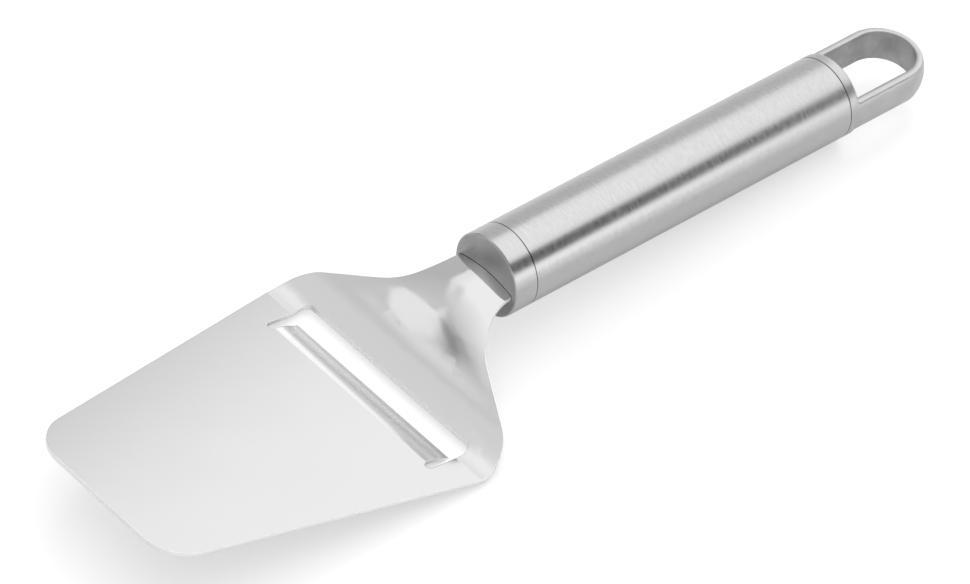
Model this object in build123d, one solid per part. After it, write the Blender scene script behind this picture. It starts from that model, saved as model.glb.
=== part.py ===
from build123d import *
import os
from math import atan2, ceil, cos, degrees, radians, sin, tan

# Cheese plane: a pressed blade whose neck enters a round handle made of a
# front cap, a tube and a cast end cap with a hanging loop.
# Modelled with the handle axis along X and the cap's front face at X = 0,
# the blade towards -X, then turned to lie as it rests on a table.

# Handle
handle_diameter = 20.0
tube_length = 95.6
tube_wall = 1.0
joint_chamfer = 0.12
spigot_clearance = 0.05

# Front cap
cap_length = 6.2
cap_bevel = 0.35
cap_spigot_length = 6.0

# Loop cap
collar_length = 2.7
loop_spigot_length = 9.0
loop_height = 8.1
loop_hole_width = 15.0
loop_hole_length = 24.1
loop_end_wall = 2.2
loop_edge_round = 0.8

# Sheet of the blade
sheet_thickness = 1.0
plate_tilt = 7.93
plate_length = 78.3
front_half_width = 22.7
front_corner_radius = 10.0
shoulder_behind_bend = 6.95
shoulder_half_width = 36.64
shoulder_radius = 9.6
neck_behind_bend = 18.75
neck_half_width = 8.5
neck_radius = 13.4

# Centre line of the neck, from the cap's face down to the plate
neck_height = 1.5
crest_radius = 15.3
crest_angle = 32.6
ramp_radius = 31.3
ramp_angle = 49.4
foot_radius = 34.0
foot_angle = 24.5
heel_radius = 6.5
neck_arch_radius = 27.0
arch_fade_length = 18.4

# Cutting slot and lip
slot_behind_bend = 4.5
slot_half_width = 27.3
slot_corner_radius = 2.0
notch_ahead_of_bend = 7.9
notch_width = 2.25
lip_edge_behind_bend = 0.5
lip_bend_radius = 10.0
lip_angle = 18.5
lip_edge_thickness = 0.15
lip_bevel_length = 2.2

# Tang inside the handle
pocket_depth = 3.0
tang_half_width = 6.0
tang_clearance = 0.12
tang_stand_out = 2.5
weld_leg = 1.6
weld_toe = 0.2

# Sheet left round the outline before it is trimmed, the share of the neck's
# length over which that sheet widens, and the turn between two of its sections
stock_margin = 1.5
neck_flare_share = 0.62
station_turn = 5.0

# Two places closer than this are the same place
place_tolerance = 0.01

# Worked out from the sizes above
handle_radius = handle_diameter / 2
spigot_radius = handle_radius - tube_wall - spigot_clearance
tube_start = cap_length
tube_end = tube_start + tube_length
collar_end = tube_end + collar_length
loop_hole_end = collar_end + loop_hole_length
loop_end = loop_hole_end + loop_end_wall
cap_back = cap_length + cap_spigot_length
tang_length = cap_back + tang_stand_out
stock_half_width = shoulder_half_width + stock_margin
throat_half_width = neck_half_width + 2 * stock_margin
lip_half_width = slot_half_width - notch_width


def plane_at(x, z, angle):
    """Plane square to the neck's centre line: local X is across, local Y is up."""
    tangent = (cos(radians(angle)), 0, sin(radians(angle)))
    return Plane(origin=(x, 0, z), x_dir=(0, 1, 0), z_dir=tangent)


def arched_band(plane, half_width, arch, top=0.0, bottom=-sheet_thickness):
    """Section of the sheet: two parallel parabolas of curvature arch and two sides."""
    rise = arch * half_width**2 / 2
    edges = []
    for height in (top, bottom):
        ends = [(side * half_width, height - rise) for side in (-1, 1)]
        edges.append(Bezier(ends[0], (0, height + rise), ends[1]))
    sides = [Line(edges[0] @ end, edges[1] @ end) for end in (0, 1)]
    return plane * make_face(edges + sides)


def smooth_step(share):
    """Rises from 0 to 1 with level ends."""
    share = min(max(share, 0.0), 1.0)
    return share * share * (3 - 2 * share)


def neck_arch(x):
    """Curvature of the neck across its width, fading out towards the shoulders."""
    return (1 - smooth_step(-x / arch_fade_length)) / neck_arch_radius


def centre_line():
    """Stations (x, z, angle) of the neck from the cap's face down to the plate."""
    arcs = [
        (crest_radius, crest_angle),
        (ramp_radius, ramp_angle),
        (-foot_radius, foot_angle),
        (-heel_radius, -plate_tilt),
    ]
    stations = [(0.0, neck_height, 0.0)]
    for radius, end_angle in arcs:
        x0, z0, start_angle = stations[-1]
        steps = ceil(abs(end_angle - start_angle) / station_turn)
        for step in range(1, steps + 1):
            angle = start_angle + (end_angle - start_angle) * step / steps
            x = x0 + radius * (sin(radians(start_angle)) - sin(radians(angle)))
            z = z0 + radius * (cos(radians(angle)) - cos(radians(start_angle)))
            stations.append((x, z, angle))
    return stations


stations = centre_line()
bend_x, bend_z, bend_angle = stations[-1]
# Plane of the front plate's top, with its origin on the bend line
plate = Plane(
    origin=(bend_x, 0, bend_z),
    x_dir=(cos(radians(bend_angle)), 0, sin(radians(bend_angle))),
    z_dir=(-sin(radians(bend_angle)), 0, cos(radians(bend_angle))),
)


def blade_outline():
    """Outline of the blank seen square to the plate, from the tip to the tang."""
    tang_end = plate.to_local_coords(Vector(tang_length, 0, neck_height)).X
    half = [
        (-plate_length, front_half_width),
        (shoulder_behind_bend, shoulder_half_width),
        (neck_behind_bend, neck_half_width),
        (tang_end, neck_half_width),
    ]
    mirrored = [(x, -y) for x, y in reversed(half)]
    outline = make_face(Polyline(*half, *mirrored, close=True))
    radii = (front_corner_radius, shoulder_radius, neck_radius)
    for corner, radius in zip(half, radii):
        pair = [v for v in outline.vertices() if abs(v.X - corner[0]) < place_tolerance]
        outline = fillet(pair, radius)
    return outline


def slot_window():
    """The cutting slot with its two notches, in the plane of the plate."""
    notch_centre = -notch_ahead_of_bend + notch_width / 2
    length = slot_behind_bend - notch_centre
    window = Pos((slot_behind_bend + notch_centre) / 2, 0) * Rectangle(
        length, 2 * slot_half_width
    )
    rear = [v for v in window.vertices() if v.X > 0]
    window = fillet(rear, slot_corner_radius)
    for side in (-1, 1):
        centre_y = side * (slot_half_width + lip_half_width) / 2
        window += Pos(notch_centre, centre_y) * Circle(notch_width / 2)
    return window, notch_centre


def lip_points(root):
    """Section of the lip in the plate's X and Z: top arc end, edge, bevel start."""
    turn = radians(lip_angle)
    arc_end = (root + lip_bend_radius * sin(turn), -lip_bend_radius * (1 - cos(turn)))
    edge_x = lip_edge_behind_bend
    edge = (edge_x, arc_end[1] - (edge_x - arc_end[0]) * tan(turn))
    down = (-sin(turn), -cos(turn))
    back = (-cos(turn), sin(turn))
    edge_low = tuple(edge[i] + down[i] * lip_edge_thickness for i in (0, 1))
    bevel = tuple(
        edge[i] + down[i] * sheet_thickness + back[i] * lip_bevel_length for i in (0, 1)
    )
    under_arc = tuple(arc_end[i] + down[i] * sheet_thickness for i in (0, 1))
    return arc_end, edge, edge_low, bevel, under_arc


def make_lip(root):
    """The lip between the notches, bent down and ground to an edge from below."""
    arc_end, edge, edge_low, bevel, under_arc = lip_points(root)
    half_turn = radians(lip_angle / 2)
    centre_z = -lip_bend_radius
    outer = lip_bend_radius
    inner = lip_bend_radius - sheet_thickness
    middle = [
        (root + radius * sin(half_turn), centre_z + radius * cos(half_turn))
        for radius in (outer, inner)
    ]
    section = make_face(
        [
            ThreePointArc((root, 0), middle[0], arc_end),
            Polyline(arc_end, edge, edge_low, bevel, under_arc),
            ThreePointArc(under_arc, middle[1], (root, -sheet_thickness)),
            Line((root, -sheet_thickness), (root, 0)),
        ]
    )
    side_plane = Plane(plate.origin, x_dir=plate.x_dir, z_dir=-Vector(0, 1, 0))
    return extrude(side_plane * section, lip_half_width, both=True)


def make_blade():
    """One pressed sheet: plate, slot, lip, shoulders, neck and tang."""
    stock_length = plate_length + stock_margin
    slab = Pos(-stock_length / 2, 0, -sheet_thickness / 2) * Box(
        stock_length, 2 * stock_half_width, sheet_thickness
    )
    sections = []
    for x, z, angle in stations:
        widen = smooth_step(x / (neck_flare_share * bend_x))
        half_width = throat_half_width + (stock_half_width - throat_half_width) * widen
        sections.append(arched_band(plane_at(x, z, angle), half_width, neck_arch(x)))
    neck = loft(sections)
    tang_wide = extrude(sections[0], pocket_depth)
    tang_section = arched_band(
        plane_at(pocket_depth, neck_height, 0), tang_half_width, neck_arch(0)
    )
    tang_narrow = extrude(tang_section, tang_length - pocket_depth)
    cutter = plate * extrude(blade_outline(), 3 * handle_diameter, both=True)
    blank = (plate.location * slab + neck + tang_wide) & cutter
    window, root = slot_window()
    blank -= plate * extrude(window, 4 * sheet_thickness, both=True)
    return blank + make_lip(root) + tang_narrow


def make_front_cap():
    """Plug with a satin face, a small bevel and an arched pocket for the tang."""
    disc = Rot(0, 90, 0) * Cylinder(
        handle_radius, cap_length, align=(Align.CENTER, Align.CENTER, Align.MIN)
    )
    rims = disc.edges().filter_by(GeomType.CIRCLE).sort_by(Axis.X)
    disc = chamfer(rims[0], cap_bevel)
    rims = disc.edges().filter_by(GeomType.CIRCLE).sort_by(Axis.X)
    disc = chamfer(rims[-1], joint_chamfer)
    spigot = Pos(cap_length, 0, 0) * Rot(0, 90, 0) * Cylinder(
        spigot_radius, cap_spigot_length, align=(Align.CENTER, Align.CENTER, Align.MIN)
    )
    cap = disc + spigot
    for start, end, half_width in (
        (0, pocket_depth, neck_half_width),
        (0, cap_back, tang_half_width),
    ):
        section = arched_band(
            plane_at(start, neck_height, 0),
            half_width + tang_clearance,
            neck_arch(0),
            tang_clearance,
            -sheet_thickness - tang_clearance,
        )
        cap -= extrude(section, end - start)
    return cap


def make_handle_tube():
    """Thin straight tube with its ends chamfered into hairline joints."""
    outer = Cylinder(handle_radius, tube_length)
    rims = outer.edges().filter_by(GeomType.CIRCLE)
    outer = chamfer(rims, joint_chamfer)
    tube = outer - Cylinder(handle_radius - tube_wall, tube_length)
    return Pos(tube_start + tube_length / 2, 0, 0) * Rot(0, 90, 0) * tube


def make_loop_cap():
    """Cast end cap: spigot, collar and a loop with the handle's own round outside."""
    collar = Pos(tube_end, 0, 0) * Rot(0, 90, 0) * Cylinder(
        handle_radius, collar_length, align=(Align.CENTER, Align.CENTER, Align.MIN)
    )
    rims = collar.edges().filter_by(GeomType.CIRCLE).sort_by(Axis.X)
    collar = chamfer(rims[0], joint_chamfer)
    rims = collar.edges().filter_by(GeomType.CIRCLE).sort_by(Axis.X)
    collar = chamfer(rims[-1], cap_bevel)
    spigot = Pos(tube_end - loop_spigot_length, 0, 0) * Rot(0, 90, 0) * Cylinder(
        spigot_radius, loop_spigot_length, align=(Align.CENTER, Align.CENTER, Align.MIN)
    )
    root = collar_end - collar_length / 2
    bar_end = loop_end - handle_radius
    loop = Pos(root, 0, 0) * Rot(0, 90, 0) * Cylinder(
        handle_radius, bar_end - root, align=(Align.CENTER, Align.CENTER, Align.MIN)
    )
    loop += Pos(bar_end, 0, 0) * Sphere(handle_radius)
    loop &= Pos(root + (loop_end - root) / 2, 0, 0) * Box(
        loop_end - root, handle_diameter, loop_height
    )
    flats = loop.faces().filter_by(Axis.Z)
    rims = [edge for edge in flats.edges() if edge.center().X > root + place_tolerance]
    loop = fillet(rims, loop_edge_round)
    round_x = loop_hole_end - loop_hole_width / 2
    straight = round_x - collar_end
    hole = Pos(collar_end + straight / 2, 0) * Rectangle(straight, loop_hole_width)
    hole += Pos(round_x, 0) * Circle(loop_hole_width / 2)
    return spigot + collar + (loop - extrude(hole, handle_radius, both=True))


def make_tang_weld():
    """Weld bead round the tang where it leaves the back of the cap."""
    wide = arched_band(
        plane_at(cap_back, neck_height, 0),
        tang_half_width + weld_leg,
        neck_arch(0),
        weld_leg,
        -sheet_thickness - weld_leg,
    )
    narrow = arched_band(
        plane_at(cap_back + weld_leg, neck_height, 0),
        tang_half_width + weld_toe,
        neck_arch(0),
        weld_toe,
        -sheet_thickness - weld_toe,
    )
    tang = extrude(
        arched_band(plane_at(0, neck_height, 0), tang_half_width, neck_arch(0)), tang_length
    )
    return loft([wide, narrow]) - tang


parts = {
    "blade": make_blade(),
    "front_cap": make_front_cap(),
    "handle_tube": make_handle_tube(),
    "loop_cap": make_loop_cap(),
    "tang_weld": make_tang_weld(),
}


def rest_angle():
    """Angle that lays the lip's lowest line and the collar's low rim on a table."""
    edge_low = lip_points(slot_window()[1])[2]
    lip_low = plate.from_local_coords(Vector(edge_low[0], 0, edge_low[1]))
    return degrees(atan2(-handle_radius - lip_low.Z, collar_end - lip_low.X))


turned = {name: Rot(0, rest_angle(), 0) * part for name, part in parts.items()}
boxes = [part.bounding_box() for part in turned.values()]
low_x = min(box.min.X for box in boxes)
high_x = max(box.max.X for box in boxes)
low_z = min(box.min.Z for box in boxes)
stand = Pos(-(low_x + high_x) / 2, 0, -low_z)

os.makedirs("parts", exist_ok=True)
for name, part in turned.items():
    export_step(stand * part, f"parts/{name}.step")
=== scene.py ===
"""A polished cheese plane with a brushed round handle, in a white studio."""

from math import radians

import bpy
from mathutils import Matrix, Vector

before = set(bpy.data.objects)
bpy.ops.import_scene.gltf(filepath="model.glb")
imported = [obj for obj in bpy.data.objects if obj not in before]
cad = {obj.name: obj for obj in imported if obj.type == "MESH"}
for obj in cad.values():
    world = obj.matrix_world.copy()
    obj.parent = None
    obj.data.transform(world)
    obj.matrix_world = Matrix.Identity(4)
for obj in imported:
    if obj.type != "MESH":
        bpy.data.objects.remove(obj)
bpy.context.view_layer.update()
scene = bpy.context.scene

MM = 0.001
PER_MM = 1000.0
WHITE = (1.0, 1.0, 1.0, 1.0)
SOFT = {"interpolation_type": "SMOOTHSTEP"}

# Camera, in the part's frame: a long lens well above the tip's near side
CAMERA_PLACE_MM = (-739.84, -716.687, 1048.826)
CAMERA_TURN_DEG = (44.4348, -3.921, -41.4977)
CAMERA_LENS_MM = 248.1
CAMERA_REACH_M = 100
FILM_WIDTH_MM = 36.0

# The handle lies tilted, with its rear end down: the middle of its front face and its
# axis in the part's frame, and places on it as distances behind that face
HANDLE_FRONT_MM = (-11.119, 0.0, 16.419)
HANDLE_AXIS = (0.9981, 0.0, -0.0616)
CAP_JOINT_MM = 6.2
COLLAR_JOINT_MM = 101.8
COLLAR_END_MM = 104.5
LOOP_ARC_MM = 121.1
LOOP_HOLE_RADIUS_MM = 7.5
JOINT_WIDTH_MM = 0.16
JOINT_LEVEL = 0.2

# The ground lip of the slot, along x and across
LIP_START_MM = -49.6
LIP_END_MM = -44.0
LIP_BLEND_MM = 0.8
LIP_HALF_WIDTH_MM = 25.2

# Noise: the values that it mostly keeps to, and detail and roughness of three kinds
NOISE_SPAN = (0.3, 0.7)
CRISP_NOISE = (4.0, 0.65)
SOFT_NOISE = (3.0, 0.55)
PLAIN_NOISE = (2.0, 0.55)

# Polished sheet: a cut edge stands upright, which the height of its normal tells, and
# at an arris the rounded normal leaves the flat one, which their cosine tells
SHEET_COLOUR = "#C3C3C3"
SHEET_ROUGHNESS = (0.07, 0.085)
BUFFING_MM = (30.0, 0.5, 0.5)
BUFFING_STRENGTH = 0.05
BUFFING_DEPTH_MM = 0.01
HAZE_MM = (18.0, 12.0, 12.0)
LIP_ROUGHNESS = 0.25
# the lip's colour is made lighter: a painted highlight
LIP_PAINTED_HIGHLIGHT = 0.25
CUT_EDGE_SPAN = (0.6, 0.4)
CUT_EDGE_ROUGHNESS = 0.45
# the cut edges are satin, and their colour is made lighter: a painted highlight
CUT_EDGE_PAINTED_HIGHLIGHT = 0.6
ARRIS_RADIUS_MM = 0.2
ARRIS_SAMPLES = 6
ARRIS_SPAN = (0.99, 0.9)
ARRIS_ROUGHNESS = 0.2
# the arrises are rougher, and their colour is made lighter: a painted highlight
ARRIS_PAINTED_HIGHLIGHT = 0.75

# Brushed handle: how far apart the hairlines are drawn, how far they run before they
# change, and how much they smear reflections
HANDLE_COLOUR = "#BABABA"
TUBE_GRAIN_MM = 0.35
TUBE_CONTRAST = 0.065
TUBE_SMEAR = 0.8
TUBE_ROUGHNESS = (0.18, 0.24)
CAP_GRAIN_MM = 0.4
CAP_CONTRAST = 0.05
CAP_SMEAR = 0.75
CAP_ROUGHNESS = 0.19
FACE_ROUGHNESS = 0.42
FACE_BLEND_MM = (0.3, 0.1)
GRAIN_ROUND_MM = 2.0
GRAIN_ROUGHNESS = 0.03
GRAIN_STRENGTH = 0.25
GRAIN_DEPTH_MM = 0.02

# Cast loop: its skin is lumps of 1.1 mm, its mottling of 4.5 mm and its pits of 1.4 mm,
# and the hole's wall ends a little outside the hole's radius
CAST_COLOUR = "#BABABA"
CAST_ROUGHNESS = 0.36
SKIN_PER_MM = 0.9
SKIN_STRENGTH = 0.6
SKIN_DEPTH_MM = 0.08
SKIN_LEFT_OUTSIDE = 0.35
MOTTLE_PER_MM = 0.22
MOTTLE_OUTSIDE = 0.05
MOTTLE_INSIDE = 0.15
PITS_PER_MM = 0.7
PIT_SPAN = (0.6, 0.74)
PIT_DARKER = 0.12
WALL_ROUGHNESS = 0.5
# the hole's wall is painted darker: painted shade
WALL_PAINTED_SHADE = 0.08
WALL_START_MM = 0.1
WALL_END_MM = 0.25
RIM_RADIUS_MM = 1.0
RIM_SAMPLES = 8

# Weld: ripples of 0.6 mm
WELD_COLOUR = "#8C8C8C"
WELD_LEVEL = (0.8, 1.15)
WELD_ROUGHNESS = (0.4, 0.6)
RIPPLE_PER_MM = 1.6
RIPPLE_STRENGTH = 0.8
RIPPLE_DEPTH_MM = 0.1

# Studio: brightness of what the steel mirrors, where 1 is white paper
SCRIM_BRIGHTNESS = 1.54
SCRIM_TIP_BRIGHTNESS = 0.85
SCRIM_FAR_DROP = 0.1
STRIP_BRIGHTNESS = (1.13, 1.28)
FAR_WALL_BRIGHTNESS = 0.82
FAR_WALL_TIP_BRIGHTNESS = 1.10
TIP_LAMP_BRIGHTNESS = 1.43
TIP_CORNER_BRIGHTNESS = 0.45
GAP_BRIGHTNESS = 0.16
PANEL_BRIGHTNESS = 1.78

# Its edges on a ceiling of height 1 over the object: x along the handle, y across it,
# away from the camera. A pair is where a change starts and where it ends.
SCRIM_FAR_EDGE = 0.85
SCRIM_FAR_EDGE_TIP = 0.65
TIP_X = (-1.15, -0.15)
SLANT_X = (0.8, 1.8)
SLANT_GAIN = 0.33
WRAP_X = (1.7, 11.7)
WRAP_GAIN = 10.0
FADE_X = (-1.0, -0.2)
DROP_X = (1.3, 1.1)
DROP_Y = (0.5, 0.75)
STRIP_X = (-0.02, -0.28)
STRIP_Y = (0.48, 0.60)
STRIP_LEAN = 0.24
STRIP_DEPTH = (0.55, 0.63)
CORNER_X = (-0.85, -1.2)
LAMP_LEAN = 0.36
LAMP_NEAR_EDGE = 0.42
LAMP_SIDE_X = (-0.74, -0.98)
LAMP_SIDE_Y = (0.70, 0.83)
LAMP_BULGE = 0.25
LAMP_BULGE_Y = (0.90, 1.0)
LAMP_TOP_Y = (1.25, 1.1)
EDGE_BLUR = 0.05
SCRIM_NEAR_EDGE = -0.80
NEAR_BLUR = 0.06

# The low panel's top, as a slope, and the least height and nearness that divide
PANEL_TOP = 0.35
PANEL_BLUR = 0.03
LEAST = 0.01

# Floor: white acrylic to the eye, and what the steel mirrors of it
FLOOR_SIZE_M = 8
FLOOR_ROUGHNESS = 0.25
FLOOR_COLOUR = "#B4B4B4"
FLOOR_LIFT = 0.58
FLOOR_COLOUR_IN_STEEL = "#E6E6E6"
FLOOR_LIFT_IN_STEEL = 0.12


def linear(hex_colour):
    """sRGB hex to the linear colour that a shader takes."""
    channels = []
    for start in (1, 3, 5):
        value = int(hex_colour[start : start + 2], 16) / 255
        if value <= 0.04045:
            channels.append(value / 12.92)
        else:
            channels.append(((value + 0.055) / 1.055) ** 2.4)
    return (*channels, 1.0)


def feed(tree, value, socket):
    """Sets a socket, or links it to another socket or to a node's first output."""
    if isinstance(value, bpy.types.Node):
        value = value.outputs[0]
    if isinstance(value, bpy.types.NodeSocket):
        tree.links.new(value, socket)
    else:
        socket.default_value = value


def add_node(tree, kind, *inputs, **settings):
    """Adds a shader node; its inputs come in their order, and None leaves one alone."""
    node = tree.nodes.new("ShaderNode" + kind)
    for name, value in settings.items():
        setattr(node, name, value)
    for socket, value in zip(node.inputs, inputs):
        if value is not None:
            feed(tree, value, socket)
    return node


def new_material(name):
    """A material with its node tree, its shader and the object's own coordinates."""
    material = bpy.data.materials.new(name)
    material.use_nodes = True
    tree = material.node_tree
    shader = tree.nodes["Principled BSDF"]
    place = add_node(tree, "TexCoord").outputs["Object"]
    return material, tree, shader, place


def bare_steel(tree, shader, colour, level, roughness, normal):
    """Steel whose colour takes a level as its factor, from grain, pits or joints, and from painted
    highlights and painted shade.
    """
    toned = add_node(tree, "VectorMath", linear(colour)[:3], None, None, level, operation="SCALE")
    feed(tree, toned, shader.inputs["Base Color"])
    feed(tree, 1.0, shader.inputs["Metallic"])
    feed(tree, roughness, shader.inputs["Roughness"])
    feed(tree, normal, shader.inputs["Normal"])


def from_handle_front(tree, place):
    """The place from the middle of the handle's front face, and how far behind it."""
    front = tuple(value * MM for value in HANDLE_FRONT_MM)
    from_front = add_node(tree, "VectorMath", place, front, operation="SUBTRACT")
    behind = add_node(tree, "VectorMath", from_front, HANDLE_AXIS, operation="DOT_PRODUCT")
    behind_mm = add_node(tree, "Math", behind.outputs["Value"], PER_MM, operation="MULTIPLY")
    return from_front, behind_mm


def brushed_round(tree, shader, from_front, behind, spacing_mm):
    """Hairlines that run round the handle and smear what it mirrors along it."""
    tangent = add_node(tree, "VectorMath", HANDLE_AXIS, from_front, operation="CROSS_PRODUCT")
    feed(tree, tangent, shader.inputs["Tangent"])
    parts = add_node(tree, "SeparateXYZ", from_front).outputs
    per_run = PER_MM / GRAIN_ROUND_MM
    along = add_node(tree, "Math", behind, spacing_mm, operation="DIVIDE")
    across = add_node(tree, "Math", parts["Y"], per_run, operation="MULTIPLY")
    up = add_node(tree, "Math", parts["Z"], per_run, operation="MULTIPLY")
    line = add_node(tree, "CombineXYZ", along, across, up)
    return add_node(tree, "TexNoise", line, None, 1.0, *CRISP_NOISE)


def dark_joint(tree, behind, joint_mm):
    """Level of the hairline gap where two pieces meet: it holds no light."""
    past = add_node(tree, "Math", behind, joint_mm, operation="SUBTRACT")
    off = add_node(tree, "Math", past, operation="ABSOLUTE")
    return add_node(tree, "MapRange", off, JOINT_WIDTH_MM / 2, JOINT_WIDTH_MM, JOINT_LEVEL, 1.0, **SOFT)


def ground_lip(tree, place):
    """Where the sheet is the slot's ground lip, between its two notches."""
    parts = add_node(tree, "SeparateXYZ", place).outputs
    start = LIP_START_MM * MM
    blended = (LIP_START_MM + LIP_BLEND_MM) * MM
    behind_plate = add_node(tree, "MapRange", parts["X"], start, blended, **SOFT)
    before_slot = add_node(tree, "Math", parts["X"], LIP_END_MM * MM, operation="LESS_THAN")
    off_middle = add_node(tree, "Math", parts["Y"], operation="ABSOLUTE")
    between = add_node(tree, "Math", off_middle, LIP_HALF_WIDTH_MM * MM, operation="LESS_THAN")
    ground = add_node(tree, "Math", behind_plate, before_slot, operation="MULTIPLY")
    return add_node(tree, "Math", ground, between, operation="MULTIPLY")


def polished_sheet():
    """Bright-polished 18/10 sheet: a near mirror with faint buffing lines. Its cut edges are satin and
    the lip is ground; the cut edges, their arrises and the lip are painted lighter as painted highlights."""
    material, tree, shader, place = new_material("mirror polished stainless sheet")
    rounded = add_node(tree, "Bevel", ARRIS_RADIUS_MM * MM, samples=ARRIS_SAMPLES)
    flat = add_node(tree, "NewGeometry").outputs["Normal"]
    same = add_node(tree, "VectorMath", rounded, flat, operation="DOT_PRODUCT").outputs["Value"]
    # the arris, where the rounded normal leaves the flat one: rougher, and painted lighter as a painted
    # highlight
    arris_satin_and_highlight = add_node(tree, "MapRange", same, *ARRIS_SPAN, **SOFT)
    height = add_node(tree, "SeparateXYZ", flat).outputs["Z"]
    upright = add_node(tree, "Math", height, operation="ABSOLUTE")
    # the upright cut edge: satin, and painted lighter as a painted highlight
    cut = add_node(tree, "MapRange", upright, *CUT_EDGE_SPAN, **SOFT)
    ground = ground_lip(tree, place)

    # faint buffing lines along the sheet, and a haze in larger patches
    per_line = tuple(PER_MM / size for size in BUFFING_MM)
    fine = add_node(tree, "VectorMath", place, per_line, operation="MULTIPLY")
    lines = add_node(tree, "TexNoise", fine, None, 1.0, *PLAIN_NOISE)
    per_patch = tuple(PER_MM / size for size in HAZE_MM)
    wide = add_node(tree, "VectorMath", place, per_patch, operation="MULTIPLY")
    haze = add_node(tree, "TexNoise", wide, None, 1.0, *SOFT_NOISE)

    rough = add_node(tree, "MapRange", haze, *NOISE_SPAN, *SHEET_ROUGHNESS)
    rough = add_node(tree, "Mix", ground, None, rough, LIP_ROUGHNESS)
    rough = add_node(tree, "Mix", cut, None, rough, CUT_EDGE_ROUGHNESS)
    rough = add_node(tree, "Mix", arris_satin_and_highlight, None, rough, ARRIS_ROUGHNESS)
    # painted highlights: the lip, the cut edges and the arrises get a lighter colour
    level = add_node(tree, "Mix", ground, None, 1.0, 1.0 + LIP_PAINTED_HIGHLIGHT)
    level = add_node(tree, "Mix", cut, None, level, 1.0 + CUT_EDGE_PAINTED_HIGHLIGHT)
    level = add_node(tree, "Mix", arris_satin_and_highlight, None, level, 1.0 + ARRIS_PAINTED_HIGHLIGHT)
    bump = add_node(tree, "Bump", BUFFING_STRENGTH, BUFFING_DEPTH_MM * MM, None, lines, rounded)
    bare_steel(tree, shader, SHEET_COLOUR, level, rough, bump)
    return material


def brushed_tube():
    """Drawn tube, belt-brushed round its girth, finer at the front: hairlines about
    0.05 mm apart, drawn coarser here because such fine ones don't show."""
    material, tree, shader, place = new_material("hairline brushed stainless tube")
    from_front, behind = from_handle_front(tree, place)
    grain = brushed_round(tree, shader, from_front, behind, TUBE_GRAIN_MM)
    feed(tree, TUBE_SMEAR, shader.inputs["Anisotropic"])
    darkest, lightest = 1.0 - TUBE_CONTRAST, 1.0 + TUBE_CONTRAST
    level = add_node(tree, "MapRange", grain, *NOISE_SPAN, darkest, lightest)
    for joint in (CAP_JOINT_MM, COLLAR_JOINT_MM):
        level = add_node(tree, "Math", level, dark_joint(tree, behind, joint), operation="MULTIPLY")
    belt = add_node(tree, "MapRange", behind, CAP_JOINT_MM, COLLAR_JOINT_MM, *TUBE_ROUGHNESS)
    uneven = add_node(tree, "MapRange", grain, *NOISE_SPAN, -GRAIN_ROUGHNESS, GRAIN_ROUGHNESS)
    rough = add_node(tree, "Math", belt, uneven, operation="ADD")
    bump = add_node(tree, "Bump", GRAIN_STRENGTH, GRAIN_DEPTH_MM * MM, None, grain)
    bare_steel(tree, shader, HANDLE_COLOUR, level, rough, bump)
    return material


def turned_cap():
    """Turned from bar and brushed with the tube. Its face keeps the tool's rings, which
    are too fine to draw and leave it a haze, so it only dimly mirrors the neck."""
    material, tree, shader, place = new_material("turned stainless cap")
    from_front, behind = from_handle_front(tree, place)
    grain = brushed_round(tree, shader, from_front, behind, CAP_GRAIN_MM)
    feed(tree, CAP_SMEAR, shader.inputs["Anisotropic"])
    darkest, lightest = 1.0 - CAP_CONTRAST, 1.0 + CAP_CONTRAST
    level = add_node(tree, "MapRange", grain, *NOISE_SPAN, darkest, lightest)
    level = add_node(tree, "Math", level, dark_joint(tree, behind, CAP_JOINT_MM), operation="MULTIPLY")
    smooth, coarse = CAP_ROUGHNESS - GRAIN_ROUGHNESS, CAP_ROUGHNESS + GRAIN_ROUGHNESS
    rough = add_node(tree, "MapRange", grain, *NOISE_SPAN, smooth, coarse)
    face = add_node(tree, "MapRange", behind, *FACE_BLEND_MM, **SOFT)
    rough = add_node(tree, "Mix", face, None, rough, FACE_ROUGHNESS)
    bump = add_node(tree, "Bump", GRAIN_STRENGTH, GRAIN_DEPTH_MM * MM, None, grain)
    bare_steel(tree, shader, HANDLE_COLOUR, level, rough, bump)
    return material


def hole_wall(tree, from_front, behind):
    """Where the loop is the wall of its hole: as far from the hole's middle line as the
    hole's radius, and behind the collar."""
    parts = add_node(tree, "SeparateXYZ", from_front).outputs
    across = add_node(tree, "Math", parts["Y"], PER_MM, operation="MULTIPLY")
    past = add_node(tree, "Math", behind, LOOP_ARC_MM, operation="SUBTRACT")
    past = add_node(tree, "Math", past, 0.0, operation="MAXIMUM")
    corner = add_node(tree, "CombineXYZ", past, across)
    radius = add_node(tree, "VectorMath", corner, operation="LENGTH").outputs["Value"]
    whole = LOOP_HOLE_RADIUS_MM + WALL_START_MM
    ended = LOOP_HOLE_RADIUS_MM + WALL_END_MM
    wall = add_node(tree, "MapRange", radius, ended, whole, **SOFT)
    hole_start = COLLAR_END_MM + WALL_START_MM
    past_collar = add_node(tree, "MapRange", behind, COLLAR_END_MM, hole_start, **SOFT)
    return add_node(tree, "Math", wall, past_collar, operation="MULTIPLY")


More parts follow.
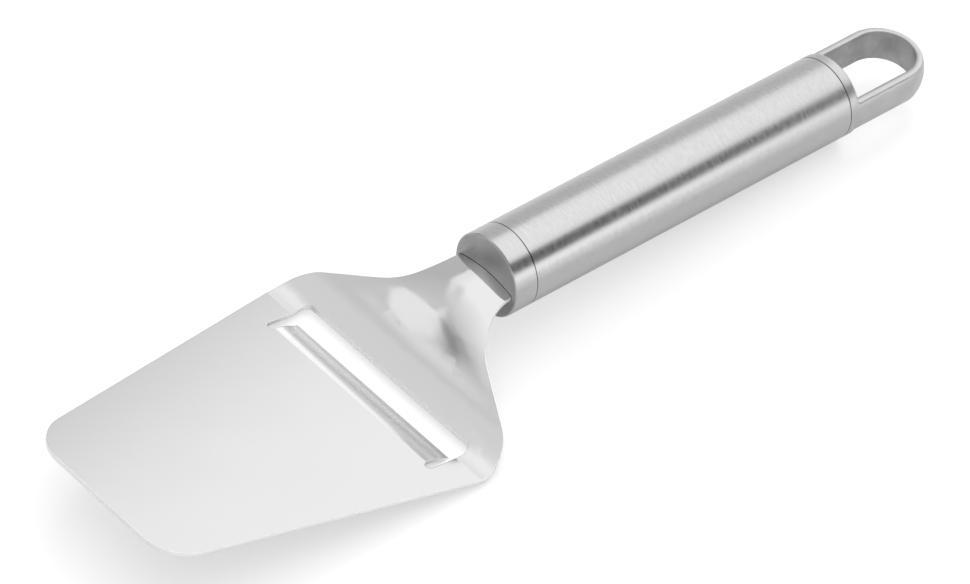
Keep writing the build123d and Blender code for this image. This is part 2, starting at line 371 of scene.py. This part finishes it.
def cast_loop():
    """Investment casting, tumbled outside so that its rims look round; the hole's wall
    stays as cast, rougher, mottled and pitted, and is painted darker as painted shade."""
    material, tree, shader, place = new_material("tumbled cast stainless")
    from_front, behind = from_handle_front(tree, place)
    cast = hole_wall(tree, from_front, behind)
    in_mm = add_node(tree, "VectorMath", place, None, None, PER_MM, operation="SCALE")
    skin = add_node(tree, "TexNoise", in_mm, None, SKIN_PER_MM, *CRISP_NOISE)
    mottle = add_node(tree, "TexNoise", in_mm, None, MOTTLE_PER_MM, *SOFT_NOISE)
    spots = add_node(tree, "TexNoise", in_mm, None, PITS_PER_MM, *PLAIN_NOISE)

    pits = add_node(tree, "MapRange", spots, *PIT_SPAN, 0.0, PIT_DARKER, **SOFT)
    darkest, lightest = 1.0 - MOTTLE_OUTSIDE, 1.0 + MOTTLE_OUTSIDE
    outside = add_node(tree, "MapRange", mottle, *NOISE_SPAN, darkest, lightest)
    # the hole's wall gets a darker colour: painted shade; its mottling and pits are its own
    wall_painted_shade_level = 1.0 - WALL_PAINTED_SHADE
    darkest, lightest = wall_painted_shade_level - MOTTLE_INSIDE, wall_painted_shade_level + MOTTLE_INSIDE
    inside = add_node(tree, "MapRange", mottle, *NOISE_SPAN, darkest, lightest)
    inside = add_node(tree, "Math", inside, pits, operation="SUBTRACT")
    level = add_node(tree, "Mix", cast, None, outside, inside)
    level = add_node(tree, "Math", level, dark_joint(tree, behind, COLLAR_JOINT_MM), operation="MULTIPLY")

    rough = add_node(tree, "Mix", cast, None, CAST_ROUGHNESS, WALL_ROUGHNESS)
    skin_left = add_node(tree, "Mix", cast, None, SKIN_LEFT_OUTSIDE, 1.0)
    height = add_node(tree, "Math", skin, skin_left, operation="MULTIPLY")
    rounded = add_node(tree, "Bevel", RIM_RADIUS_MM * MM, samples=RIM_SAMPLES)
    bump = add_node(tree, "Bump", SKIN_STRENGTH, SKIN_DEPTH_MM * MM, None, height, rounded)
    bare_steel(tree, shader, CAST_COLOUR, level, rough, bump)
    return material


def weld_bead():
    """Fused bead with heat scale: dull, rippled and darker than the sheet."""
    material, tree, shader, place = new_material("weld bead")
    in_mm = add_node(tree, "VectorMath", place, None, None, PER_MM, operation="SCALE")
    ripple = add_node(tree, "TexNoise", in_mm, None, RIPPLE_PER_MM, *SOFT_NOISE)
    level = add_node(tree, "MapRange", ripple, *NOISE_SPAN, *WELD_LEVEL)
    rough = add_node(tree, "MapRange", ripple, *NOISE_SPAN, *WELD_ROUGHNESS)
    bump = add_node(tree, "Bump", RIPPLE_STRENGTH, RIPPLE_DEPTH_MM * MM, None, ripple)
    bare_steel(tree, shader, WELD_COLOUR, level, rough, bump)
    return material


def dress(node, material):
    """Gives a CAD piece its one material and leaves its mesh alone."""
    cad[node].data.materials.clear()
    cad[node].data.materials.append(material)


def place_camera():
    """The camera that the photo was taken with, worked out from the object's outline."""
    camera_data = bpy.data.cameras.new("camera")
    camera_data.lens = CAMERA_LENS_MM
    camera_data.sensor_width = FILM_WIDTH_MM
    camera_data.clip_end = CAMERA_REACH_M
    camera = bpy.data.objects.new("camera", camera_data)
    camera.location = Vector(CAMERA_PLACE_MM) * MM
    camera.rotation_euler = [radians(turn) for turn in CAMERA_TURN_DEG]
    scene.collection.objects.link(camera)
    scene.camera = camera


def acrylic_floor():
    """White acrylic sheet: it keeps the object's shadow, and the steel mirrors it."""
    bpy.ops.object.select_all(action="DESELECT")
    bpy.ops.mesh.primitive_plane_add(size=FLOOR_SIZE_M, location=(0, 0, 0))
    plane = bpy.context.object
    plane.name = "floor"
    material, tree, shader, _ = new_material("white acrylic floor")
    rays = add_node(tree, "LightPath").outputs
    glossy, through = rays["Is Glossy Ray"], rays["Is Transmission Ray"]
    in_steel = add_node(tree, "Math", glossy, through, operation="MAXIMUM")
    seen_grey = linear(FLOOR_COLOUR)[0]
    mirrored_grey = linear(FLOOR_COLOUR_IN_STEEL)[0]
    grey = add_node(tree, "Mix", in_steel, None, seen_grey, mirrored_grey)
    lift = add_node(tree, "Math", in_steel, FLOOR_LIFT_IN_STEEL, operation="MULTIPLY")
    lift = add_node(tree, "Math", rays["Is Camera Ray"], FLOOR_LIFT, lift, operation="MULTIPLY_ADD")
    feed(tree, grey, shader.inputs["Base Color"])
    feed(tree, FLOOR_ROUGHNESS, shader.inputs["Roughness"])
    feed(tree, WHITE, shader.inputs["Emission Color"])
    feed(tree, lift, shader.inputs["Emission Strength"])
    plane.data.materials.append(material)


def overhead_scrim(tree, x, y):
    """The scrim over the object, and the wall past its far edge.

    The edge runs level over the handle, comes nearer over the tip, slants away past the
    handle and wraps down behind its rear end.
    """
    edge = add_node(tree, "MapRange", x, *TIP_X, SCRIM_FAR_EDGE_TIP, SCRIM_FAR_EDGE)
    slant = add_node(tree, "MapRange", x, *SLANT_X, 0.0, SLANT_GAIN)
    wrap = add_node(tree, "MapRange", x, *WRAP_X, 0.0, WRAP_GAIN)
    edge = add_node(tree, "Math", edge, slant, operation="ADD")
    edge = add_node(tree, "Math", edge, wrap, operation="ADD")
    inside = add_node(tree, "Math", edge, y, operation="SUBTRACT")
    scrim = add_node(tree, "MapRange", inside, -EDGE_BLUR, EDGE_BLUR, **SOFT)

    # it fades over the tip, and a little along its far edge up to the blade's mirror
    fade = add_node(tree, "MapRange", x, *FADE_X, SCRIM_TIP_BRIGHTNESS, SCRIM_BRIGHTNESS)
    far = add_node(tree, "MapRange", y, *DROP_Y, 0.0, SCRIM_FAR_DROP, **SOFT)
    over_handle = add_node(tree, "MapRange", x, *DROP_X, **SOFT)
    drop = add_node(tree, "Math", far, over_handle, operation="MULTIPLY")
    kept = add_node(tree, "Math", 1.0, drop, operation="SUBTRACT")
    cloth = add_node(tree, "Math", fade, kept, operation="MULTIPLY")

    # a thin strip of it toward the tip lets less light through, least at its near edge
    beyond = add_node(tree, "MapRange", y, *STRIP_Y, **SOFT)
    toward = add_node(tree, "MapRange", x, *STRIP_X, **SOFT)
    strip = add_node(tree, "Math", beyond, toward, operation="MULTIPLY")
    depth = add_node(tree, "Math", x, STRIP_LEAN, y, operation="MULTIPLY_ADD")
    strip_level = add_node(tree, "MapRange", depth, *STRIP_DEPTH, *STRIP_BRIGHTNESS, **SOFT)
    strip_level = add_node(tree, "Math", strip_level, cloth, operation="MINIMUM")
    cloth = add_node(tree, "Mix", strip, None, cloth, strip_level)
    wall = add_node(tree, "MapRange", x, *TIP_X, FAR_WALL_TIP_BRIGHTNESS, FAR_WALL_BRIGHTNESS)
    return add_node(tree, "Mix", scrim, None, wall, cloth)


def beside_tip(tree, x, y, sky):
    """A dark corner beside the tip, and a small soft lamp before it."""
    corner = add_node(tree, "MapRange", x, *CORNER_X, **SOFT)
    sky = add_node(tree, "Mix", corner, None, sky, TIP_CORNER_BRIGHTNESS)
    lean = add_node(tree, "Math", x, LAMP_LEAN, y, operation="MULTIPLY_ADD")
    start, end = LAMP_NEAR_EDGE - EDGE_BLUR, LAMP_NEAR_EDGE + EDGE_BLUR
    lamp = add_node(tree, "MapRange", lean, start, end, **SOFT)
    side = add_node(tree, "MapRange", y, *LAMP_SIDE_Y, *LAMP_SIDE_X)
    bulge = add_node(tree, "MapRange", y, *LAMP_BULGE_Y, 0.0, LAMP_BULGE)
    side = add_node(tree, "Math", side, bulge, operation="ADD")
    past_side = add_node(tree, "Math", side, x, operation="SUBTRACT")
    tipward = add_node(tree, "MapRange", past_side, -EDGE_BLUR, EDGE_BLUR, **SOFT)
    lamp = add_node(tree, "Math", lamp, tipward, operation="MULTIPLY")
    under_top = add_node(tree, "MapRange", y, *LAMP_TOP_Y, **SOFT)
    lamp = add_node(tree, "Math", lamp, under_top, operation="MULTIPLY")
    return add_node(tree, "Mix", lamp, None, sky, TIP_LAMP_BRIGHTNESS)


def near_side(tree, parts, y, sky):
    """On the camera's side, a dark gap under the scrim, and a low bright panel."""
    near = add_node(tree, "Math", parts["Y"], -1.0, operation="MULTIPLY")
    near = add_node(tree, "Math", near, LEAST, operation="MAXIMUM")
    rise = add_node(tree, "Math", parts["Z"], near, operation="DIVIDE")
    panel = add_node(tree, "MapRange", rise, PANEL_TOP + PANEL_BLUR, PANEL_TOP - PANEL_BLUR, **SOFT)
    side = add_node(tree, "Mix", panel, None, GAP_BRIGHTNESS, PANEL_BRIGHTNESS)
    start, end = SCRIM_NEAR_EDGE - NEAR_BLUR, SCRIM_NEAR_EDGE + NEAR_BLUR
    over = add_node(tree, "MapRange", y, start, end, **SOFT)
    return add_node(tree, "Mix", over, None, side, sky)


def light_world():
    """The studio as the object mirrors it, from scrims, panels and walls.

    A direction divided by its height is a place on a ceiling of height 1 over the
    object. The camera itself sees white.
    """
    world = bpy.data.worlds.new("studio")
    world.use_nodes = True
    tree = world.node_tree
    direction = add_node(tree, "TexCoord").outputs["Generated"]
    parts = add_node(tree, "SeparateXYZ", direction).outputs
    height = add_node(tree, "Math", parts["Z"], LEAST, operation="MAXIMUM")
    x = add_node(tree, "Math", parts["X"], height, operation="DIVIDE")
    y = add_node(tree, "Math", parts["Y"], height, operation="DIVIDE")
    sky = overhead_scrim(tree, x, y)
    sky = beside_tip(tree, x, y, sky)
    sky = near_side(tree, parts, y, sky)
    seen = add_node(tree, "LightPath").outputs["Is Camera Ray"]
    sky = add_node(tree, "Mix", seen, None, sky, 1.0)
    background = tree.nodes["Background"]
    feed(tree, WHITE, background.inputs["Color"])
    feed(tree, sky, background.inputs["Strength"])
    scene.world = world


place_camera()
dress("blade", polished_sheet())
dress("front_cap", turned_cap())
dress("handle_tube", brushed_tube())
dress("loop_cap", cast_loop())
dress("tang_weld", weld_bead())
acrylic_floor()
light_world()

scene.view_settings.view_transform = "Standard"
